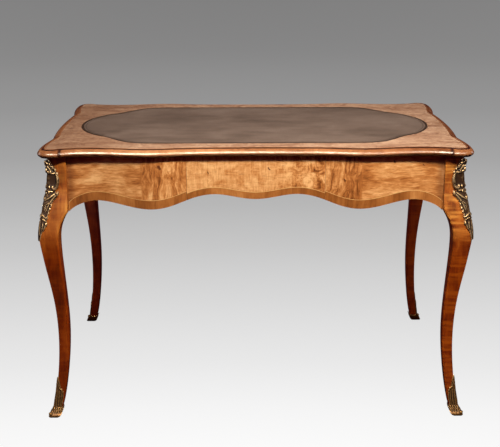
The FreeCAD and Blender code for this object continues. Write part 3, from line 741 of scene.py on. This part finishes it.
def smoothBetween(points, at):  # flowing reading of a list of (place, value) pairs in rising order
    last = len(points) - 2
    index = 0
    while index < last and at > points[index + 1][0]:
        index += 1
    (low, lowValue), (high, highValue) = points[index], points[index + 1]
    before = points[max(index - 1, 0)]
    after = points[min(index + 2, last + 1)]
    part = min(max((at - low) / (high - low), 0), 1)
    span = high - low
    startSlope = span * (highValue - before[1]) / (high - before[0])
    endSlope = span * (after[1] - lowValue) / (after[0] - low)
    square, cube = part ** 2, part ** 3
    return ((2 * cube - 3 * square + 1) * lowValue + (cube - 2 * square + part) * startSlope
            + (3 * square - 2 * cube) * highValue + (cube - square) * endSlope)


def onCorner(profile, across, height, lift):  # across > 0 is the end face, < 0 the long face; all in mm
    rounding = casting["rounding"]
    arc = rounding * math.pi / 4
    out = smoothBetween(profile, height)
    x = legBlock[0] + out
    y = legBlock[1] + out
    if abs(across) >= arc:
        along = abs(across) - arc + rounding
        point = (x + lift, y - along) if across > 0 else (x - along, y + lift)
    else:
        angle = math.pi / 4 * (1 - across / arc)
        reach = rounding + lift
        point = (x - rounding + reach * math.cos(angle), y - rounding + reach * math.sin(angle))
    return Vector((point[0], point[1], height)) * mm


def castStrokes(name, profile, strokes):  # points of a stroke: across, height, lift and radius in mm
    deselectAll()
    bpy.ops.curve.primitive_nurbs_path_add()
    item = bpy.context.object
    item.name = name
    data = item.data
    data.splines.clear()
    data.dimensions = "3D"
    data.bevel_depth = mm
    data.bevel_resolution = 3
    data.use_fill_caps = True
    for stroke in strokes:
        spline = data.splines.new("NURBS")
        spline.points.add(len(stroke) - 1)
        for point, (across, height, lift, radius) in zip(spline.points, stroke):
            point.co = (*onCorner(profile, across, height, lift), 1.0)
            point.radius = radius
        spline.order_u = min(4, len(stroke))
        spline.use_endpoint_u = True
        spline.resolution_u = 5
    activate(item)
    bpy.ops.object.convert(target="MESH")
    return bpy.context.object


def castPlate(name, profile, look):  # thin ground plate that carries the strokes
    deselectAll()
    bpy.ops.mesh.primitive_grid_add(x_subdivisions=look["columns"], y_subdivisions=look["rows"], size=2)
    item = bpy.context.object
    item.name = name
    outline = look["plate"]
    low, high = outline[0][0], outline[-1][0]
    for vertex in item.data.vertices:
        height = low + (high - low) * (vertex.co.y + 1) / 2
        across = between(outline, height) * vertex.co.x
        hollow = casting["hollow"] * (1 - abs(vertex.co.x) ** 2)
        vertex.co = onCorner(profile, across, height, look["lift"] - hollow)
    applyModifier(item, "SOLIDIFY", thickness=casting["plateThick"] * mm, offset=0.0)
    return item


def bothFaces(strokes):  # the same strokes again on the other face of the leg
    mirrored = []
    for stroke in strokes:
        mirrored.append([(-across, height, lift, radius) for across, height, lift, radius in stroke])
    return strokes + mirrored


def dropSpecks(item):  # only the shell with the top point stays; the remesh can leave a speck inside it
    activate(item)
    clearSelection("VERT")
    topPoint = max(item.data.vertices, key=lambda vertex: vertex.co.z)
    topPoint.select = True
    bpy.ops.object.mode_set(mode="EDIT")
    bpy.ops.mesh.select_linked()
    bpy.ops.mesh.select_all(action="INVERT")
    bpy.ops.mesh.delete(type="VERT")
    bpy.ops.object.mode_set(mode="OBJECT")


def fuseCasting(parts, name, voxel):
    activate(*parts)
    bpy.ops.object.join()
    item = bpy.context.object
    item.name = name
    applyModifier(item, "REMESH", mode="VOXEL", voxel_size=voxel * mm)
    applyModifier(item, "SMOOTH", factor=0.5, iterations=2)
    dropSpecks(item)
    editAll()
    bpy.ops.mesh.normals_make_consistent(inside=False)
    bpy.ops.object.mode_set(mode="OBJECT")
    bpy.ops.object.shade_smooth()
    return item


def castToCorners(master, title, nodeStart, finish):  # the master is for the back right leg
    for corner, (signX, signY) in corners.items():
        if corner == "back_right":
            copy = master
        else:
            activate(master)
            bpy.ops.object.duplicate()
            copy = bpy.context.object
            editAll()
            bpy.ops.transform.resize(value=(signX, signY, 1), center_override=(0, 0, 0))
            bpy.ops.mesh.normals_make_consistent(inside=False)
            bpy.ops.object.mode_set(mode="OBJECT")
        copy.name = title + "_" + corner
        paint(copy, finish)
        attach(copy, "table")
        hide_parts(nodeStart + corner)
        castings.append(copy)


castings = []
kneeCasting = {
    "plate": [(511, 1.4), (530, 5), (545, 9), (560, 14), (575, 15), (590, 15), (605, 18), (618, 22),
              (628, 25), (640, 20), (655, 23), (672, 23), (688, 22), (698, 19), (708, 12), (721, 4)],
    "rows": 90, "columns": 24,
    "lift": 3.4,
    "flutes": (6, 11),
    "voxel": 0.85,
    "cornerPearls": [(0, 715, 8.5, 5.0), (0, 694, 6.6, 4.4), (0, 634, 3.4, 3.0), (0, 620, 4.4, 3.8),
                     (0, 577, 4.0, 3.2)],
    "pearls": [(6, 710, 8.0, 4.0), (12.5, 701, 7.4, 3.8), (19, 694, 6.4, 4.0), (7.5, 689, 6.4, 4.4),
               (23.5, 685, 5.2, 3.8), (25.5, 667, 6.4, 5.0), (4, 650, 5.4, 3.6), (4.5, 637, 5.4, 3.8),
               (16.5, 646, 7.0, 5.6), (27, 632, 6.2, 5.6), (15, 613, 5.2, 3.8), (18, 604, 4.8, 3.6),
               (17, 594, 4.0, 3.2), (15.5, 584.5, 3.8, 3.0), (5, 576, 4.8, 3.8), (14, 571, 4.4, 3.4),
               (14.5, 556, 4.8, 5.0)],
}  # lengths in mm; plate: height and half width; a pearl: across, height, lift and radius


def pearlStrokes(pearls):  # short strokes, thick in the middle
    strokes = []
    for across, height, lift, radius in pearls:
        tip = (lift - 0.5 * radius, 0.4 * radius)
        strokes.append([(across, height + radius, *tip), (across, height, lift, radius),
                        (across, height - radius, *tip)])
    return strokes


def kneeStrokes():
    head = [
        [(1, 714, 6.6, 2.4), (7, 706, 7.0, 3.4), (13, 701, 6.0, 3.0), (19, 696, 4.0, 2.0)],
        [(1, 705, 4.6, 2.6), (5, 697, 5.0, 2.8), (9, 690, 4.4, 2.4)],
        [(1, 691, 5.2, 2.6), (7, 685.5, 5.2, 3.2), (14, 685, 4.0, 2.4), (20, 687, 3.4, 2.0),
         (24.5, 683, 3.2, 1.8)],
    ]
    panel = [
        [(across, 681, 2.2, 0.8), (across + 0.5, 667, 2.4, 0.9), (across + 0.8, 655, 2.2, 0.8)]
        for across in kneeCasting["flutes"]]
    panel += [
        [(20.5, 684, 3.8, 2.6), (24, 676, 4.6, 3.8), (24.5, 666, 5.2, 4.6), (24, 656, 5.0, 4.2),
         (21.5, 648, 5.4, 4.2), (16.5, 644, 6.0, 4.6), (11.5, 647, 5.4, 3.6),
         (12, 653, 4.4, 2.4)],  # scroll that frames it
        [(1, 641, 2.8, 1.6), (7, 638, 4.2, 2.4), (14, 637, 4.2, 2.4), (20, 640, 3.2, 1.4)],
    ]
    leaves = [
        [(27, 632, 4.4, 3.2), (21, 625, 4.4, 2.8), (15, 615, 4.0, 2.4), (10.5, 603, 3.6, 2.4),
         (8, 590, 3.2, 1.9), (7, 582, 2.4, 1.0)],
        [(27, 637, 2.6, 1.2), (19, 631, 4.2, 2.4), (11, 625, 4.8, 2.7), (4, 619, 4.8, 2.7),
         (0.5, 616, 4.0, 2.0)],
        [(27, 625, 2.4, 1.0), (21, 618, 3.8, 2.0), (14, 612, 4.0, 2.2), (7, 607, 4.0, 2.0),
         (2.5, 603, 3.0, 1.2)],
        [(4, 611, 2.4, 1.2), (4.5, 601, 2.8, 1.8), (4, 591, 2.8, 1.6), (3.5, 584, 2.2, 1.0)],
    ]
    knot = [
        [(0, 583, 3.0, 1.4), (4, 577, 4.6, 2.8), (9, 574, 4.2, 2.4), (14, 571, 4.2, 2.4),
         (17, 573, 2.6, 1.2)],
        [(2, 570, 3.0, 1.4), (8, 567, 4.4, 2.4), (12, 565, 4.2, 2.4), (15, 561, 2.8, 1.2)],
    ]
    tail = [
        [(14.5, 562, 2.6, 1.2), (14, 554, 4.2, 3.4), (11, 546, 4.0, 3.0), (8, 538, 2.6, 1.2)],
        [(5, 560, 2.6, 1.4), (6.5, 552, 3.8, 2.4), (6, 542, 3.4, 2.2), (4, 532, 2.4, 1.2)],
        [(0, 566, 2.8, 1.4), (0.5, 552, 3.2, 2.0), (1, 536, 3.0, 1.9), (1.6, 524, 2.4, 2.0),
         (0.8, 512, 1.2, 0.9)],
    ]
    repeated = head + panel + leaves + knot + tail + pearlStrokes(kneeCasting["pearls"])
    return pearlStrokes(kneeCasting["cornerPearls"]) + bothFaces(repeated)


kneePlate = castPlate("kneePlate", legCorner, kneeCasting)
kneeRelief = castStrokes("kneeRelief", legCorner, kneeStrokes())
kneeMaster = fuseCasting([kneePlate, kneeRelief], "kneeMaster", kneeCasting["voxel"])
castToCorners(kneeMaster, "kneeCasting", "knee_mount_", "kneeBronze")
print("knee mounts cast")


sabotCasting = {
    "plate": [(26, 22), (40, 22.5), (55, 22.5), (66, 21), (74, 17), (82, 11.5), (92, 9), (102, 6),
              (112, 1.5)],
    "rows": 60, "columns": 20,
    "lift": -0.9,
    "voxel": 0.75,
    "flutes": (5, 11, 17),  # places across each face, mm
    "ribs": (3, 9, 15, 21),
    "volute": [(-7, 11, -1.2, 2.4), (-3, 12, 0.4, 3.6), (0, 12.5, 1.2, 4.6), (3, 12, 0.4, 3.6),
               (7, 11, -1.2, 2.4)],
    "pearls": [(15, 76, 0.6, 3.0), (20, 69, 0.2, 2.4), (9, 81, 0.4, 2.2)],
}


def sabotStrokes():
    leaf = [
        [(0.8, 112, 0.0, 0.8), (4.5, 102, 0.8, 1.5), (8.0, 92, 0.6, 1.4), (10.0, 84, 0.2, 0.9)],
        [(0.6, 100, 0.2, 0.8), (4.5, 91, 0.8, 1.5), (7.5, 82, 0.4, 1.0)],
        [(9, 82, 0.2, 1.2), (15, 76, 0.6, 1.8), (20.5, 68, 0.2, 1.6), (21.5, 58, -0.2, 1.2),
         (21, 48, -0.6, 0.8)],
    ]
    for across in sabotCasting["flutes"]:
        leaf.append([(across - 2, 72, 0.0, 0.8), (across, 52, 0.4, 1.5), (across + 0.8, 40, 0.4, 1.6),
                     (across + 1.4, 29, 0.0, 1.0)])
    for across in sabotCasting["ribs"]:  # two fans of ribs that cross above the sole
        leaf.append([(across, 27, 0.0, 1.0), (across + 3, 16, 0.6, 1.6), (across + 6, 5, 0.0, 1.2)])
        leaf.append([(across + 7, 27, 0.0, 1.0), (across + 4, 16, 0.6, 1.6), (across, 5, 0.0, 1.2)])
    leaf += pearlStrokes(sabotCasting["pearls"])
    vein = [(0, 60, -0.2, 1.0), (0, 78, 0.4, 1.5), (0, 96, 0.6, 1.4), (0, 112, 0.0, 0.8)]
    return [vein, sabotCasting["volute"]] + bothFaces(leaf)


sabotPlate = castPlate("sabotPlate", toeCorner, sabotCasting)
sabotRelief = castStrokes("sabotRelief", toeCorner, sabotStrokes())
sabotParts = [copyNode("sabot_back_right"), sabotPlate, sabotRelief]
sabotMaster = fuseCasting(sabotParts, "sabotMaster", sabotCasting["voxel"])
castToCorners(sabotMaster, "toeCap", "sabot_", "toeBronze")
print("toe caps cast")


# floor, backdrop, light and camera

# the floor and wall glow of themselves: a painted pool of light, palest in front of the table and fading
# away from it
studio = {
    "ground": [(0.2, 0.98), (0.5, 0.91), (0.8, 0.81), (1.3, 0.69), (1.9, 0.565), (2.5, 0.475), (3.5, 0.37),
               (5.0, 0.30), (7.8, 0.245), (9.5, 0.21)],  # distance from the centre of the painted light and paleness there
    "farthest": 10.0,
    "paintedLightCentre": (0, -0.8, 0),
    "spread": (0.3, 1.0, 1.0),
    "paper": (0.05, 0.05, 0.05, 1),  # dark, because the floor glows of itself
    "radius": 7.0, "sides": 96,
    "bendSteps": 10, "bendStep": 0.4, "wall": 6,
    "gleam": (1.0, 0.86, 0.66),
    "lowTint": (1.0, 0.6, 0.4),
    "air": [(0.0, (0.030, 0.006, 0.006, 1)), (0.5, (0.060, 0.010, 0.014, 1)),
            (1.0, (0.110, 0.056, 0.048, 1))],
}
lamps = {
    "keyBox": ((0.32, -1.28, 2.0), (0, -0.33, 0.74), (0.8, 0.12), 61.0),
    "stripBox": ((-0.85, -2.7, 3.1), (-0.85, -0.2, 0.6), (2.1, 0.4), 200.0),
    "weakStripBox": ((1.3, -2.7, 3.1), (1.3, -0.2, 0.6), (2.1, 0.4), 70.0),
    "backBox": ((0.5, 3.2, 2.6), (0, 0, 0.5), (3.0, 1.0), 38.0),
    "leftBox": ((-3.2, 0.4, 1.6), (0, 0, 0.45), (1.5, 1.5), 15.0),
    "rightBox": ((3.2, 0.4, 1.6), (0, 0, 0.45), (1.5, 1.5), 15.0),
    "lowBox": ((-0.9, -2.2, 0.5), (-0.45, 0.3, 0.35), (0.8, 0.4), 9.0),
    "frontBox": ((-0.3, -2.9, 1.35), (0, -0.3, 0.5), (1.6, 0.5), 25.0),
}  # place, target and size in m, power in W


def makeStage():  # round floor that bends up into a wall on all sides
    deselectAll()
    bpy.ops.mesh.primitive_circle_add(vertices=studio["sides"], radius=studio["radius"], fill_type="NGON")
    sweep = bpy.context.object
    sweep.name = "studioSweep"
    bpy.ops.object.mode_set(mode="EDIT")
    bpy.ops.mesh.select_mode(type="EDGE")
    bpy.ops.mesh.select_all(action="SELECT")
    reach = studio["radius"]
    for step in range(studio["bendSteps"]):
        angle = math.radians(90 / studio["bendSteps"] * (step + 0.5))
        grown = reach + studio["bendStep"] * math.cos(angle)
        rise = studio["bendStep"] * math.sin(angle)
        bpy.ops.mesh.extrude_region_move(TRANSFORM_OT_translate={"value": (0, 0, rise)})
        bpy.ops.transform.resize(value=(grown / reach, grown / reach, 1), center_override=(0, 0, 0))
        reach = grown
    bpy.ops.mesh.extrude_region_move(TRANSFORM_OT_translate={"value": (0, 0, studio["wall"])})
    bpy.ops.mesh.select_all(action="SELECT")
    bpy.ops.mesh.normals_make_consistent(inside=True)
    bpy.ops.object.mode_set(mode="OBJECT")
    bpy.ops.object.shade_smooth_by_angle(angle=math.radians(30))
    material, tree, shader, place = startMaterial("paperSweep")
    shifted = addNode(tree, "ShaderNodeVectorMath", operation="SUBTRACT")
    shifted.inputs[1].default_value = studio["paintedLightCentre"]
    link(tree, place, shifted.inputs[0])
    away = addNode(tree, "ShaderNodeVectorMath", operation="LENGTH")
    link(tree, stretched(tree, shifted.outputs[0], studio["spread"]), away.inputs[0])
    farthest = studio["farthest"]
    stops = [(distance / farthest, (value, value, value, 1)) for distance, value in studio["ground"]]
    paper = ramp(tree, remap(tree, away.outputs["Value"], 0, farthest), stops)
    link(tree, paper, shader.inputs["Emission Color"])
    shader.inputs["Emission Strength"].default_value = 1.0
    shader.inputs["Base Color"].default_value = studio["paper"]
    shader.inputs["Roughness"].default_value = 0.9
    shader.inputs["Specular IOR Level"].default_value = 0.0
    sweep.data.materials.append(material)
    return sweep


def softBox(name, place, target, size, power):
    deselectAll()
    bpy.ops.object.light_add(type="AREA", location=place)
    lamp = bpy.context.object
    lamp.name = name
    lamp.data.shape = "RECTANGLE"
    lamp.data.size = size[0]
    lamp.data.size_y = size[1]
    lamp.data.energy = power
    lamp.rotation_euler = (Vector(target) - Vector(place)).to_track_quat("-Z", "Y").to_euler()
    return lamp


def makeAir():  # weak warm light from all round, weakest from below
    world = bpy.data.worlds.new("studioAir")
    scene.world = world
    world.use_nodes = True
    tree = world.node_tree
    direction = addNode(tree, "ShaderNodeTexCoord").outputs["Generated"]
    height = remap(tree, axisParts(tree, direction)[2], -1, 1)
    link(tree, ramp(tree, height, studio["air"]), tree.nodes["Background"].inputs[0])


def aimAt(lamp, state, items):  # the lamp shines on these alone, or on all but these
    group = bpy.data.collections.new(lamp.name + "Target")
    for item in items:
        group.objects.link(item)
    for member in group.collection_objects:
        member.light_linking.link_state = state
    lamp.light_linking.receiver_collection = group


def makeLight(sweep):
    makeAir()
    boxes = {name: softBox(name, *values) for name, values in lamps.items()}
    leftLegs = [nodes["leg_front_left"], nodes["leg_back_left"]]
    rightLegs = [nodes["leg_front_right"], nodes["leg_back_right"]]
    for name in ("keyBox", "stripBox", "weakStripBox", "backBox"):  # so no hard shadow on the floor
        aimAt(boxes[name], "EXCLUDE", [sweep])
    aimAt(boxes["leftBox"], "EXCLUDE", [sweep, *rightLegs])  # the inner faces of the legs stay dark
    aimAt(boxes["rightBox"], "EXCLUDE", [sweep, *leftLegs])
    frontCastings = [item for item in castings if "front" in item.name]
    aimAt(boxes["frontBox"], "INCLUDE", frontCastings)  # sparkle on the bronze
    aimAt(boxes["lowBox"], "INCLUDE", [nodes["leg_back_left"], nodes["leg_back_right"]])
    for name in ("stripBox", "weakStripBox"):
        boxes[name].data.color = studio["gleam"]
        boxes[name].visible_diffuse = False  # only the long gleam on the moulding
    boxes["lowBox"].data.color = studio["lowTint"]
    for name in ("keyBox", "backBox", "lowBox"):
        boxes[name].visible_glossy = False
    sweep.visible_diffuse = False
    sweep.visible_glossy = False


photoCamera = {
    "place": (-0.029, -2.6176, 1.285),  # m
    "pitch": 17.676, "yaw": 0.337, "roll": -0.117,  # degrees
    "lens": 67.0, "sensor": 36,  # mm
}


def makeCamera():
    deselectAll()
    bpy.ops.object.camera_add(location=photoCamera["place"])
    camera = bpy.context.object
    pitch = math.radians(photoCamera["pitch"])
    yaw = math.radians(photoCamera["yaw"])
    forward = Vector((math.sin(yaw) * math.cos(pitch), math.cos(yaw) * math.cos(pitch), -math.sin(pitch)))
    level = forward.to_track_quat("-Z", "Y")
    tilt = Quaternion(forward, math.radians(-photoCamera["roll"]))
    camera.rotation_euler = (tilt @ level).to_euler()
    camera.data.lens = photoCamera["lens"]
    camera.data.sensor_width = photoCamera["sensor"]
    scene.camera = camera


makeLight(makeStage())
makeCamera()
scene.view_settings.view_transform = "Standard"
print("stage, light and camera ready")
